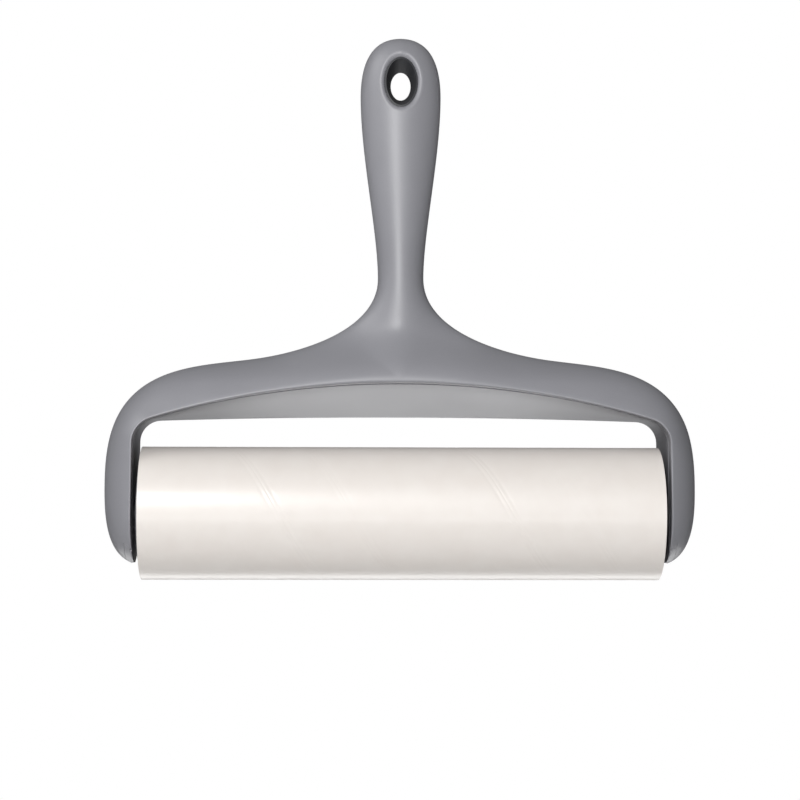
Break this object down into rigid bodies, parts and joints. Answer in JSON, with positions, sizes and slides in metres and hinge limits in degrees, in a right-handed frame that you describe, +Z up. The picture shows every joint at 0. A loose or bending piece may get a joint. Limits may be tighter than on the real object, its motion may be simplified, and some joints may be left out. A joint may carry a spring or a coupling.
{
  "type": "lint roller",
  "caption": "Wide lint roller: an adhesive roll turns on pins between the arms of a hollow U-shaped frame with a tapered hanging handle.",
  "frame": {"origin": "middle of the hanging hole in the handle", "axes": "+X along the roller, -Y the front, +Z up the handle"},
  "size_m": [0.233, 0.0522, 0.2182],
  "materials": {
    "frame_plastic": "fine satin texture",
    "liner_plastic": "matte",
    "hub_plastic": "matte",
    "bush_plastic": "slightly waxy",
    "steel": "turned",
    "spring_steel": "drawn wire",
    "cardboard": "spiral-wound paper",
    "wound_paper": "wound coated paper, tacky outside",
    "top_sheet": "glossy adhesive film"
  },
  "bodies": {
    "frame": {"front_shell": "frame_plastic", "rear_shell": "frame_plastic", "hole_liner": "liner_plastic", "shell_screws": "steel", "left_bush": "bush_plastic", "right_bush": "bush_plastic"},
    "roller": {"core_tube": "cardboard", "adhesive_roll": "wound_paper", "top_sheet": "top_sheet", "left_hub": "hub_plastic", "right_hub": "hub_plastic", "fixed_pin": "steel", "spring_plug": "hub_plastic", "hub_spring": "spring_steel"},
    "plunger": {"sprung_pin": "steel"}
  },
  "joints": [
    {"name": "roller_spin", "type": "hinge", "parent": "frame", "child": "roller", "pos_m": [0, 0, -0.1724], "axis": [1, 0, 0], "continuous": true},
    {"name": "pin_press", "type": "slide", "parent": "roller", "child": "plunger", "axis": [-1, 0, 0], "range_m": [0, 0.003], "stiffness_N_per_m": 600, "springref_m": -0.004, "deforming": ["hub_spring"]}
  ]
}
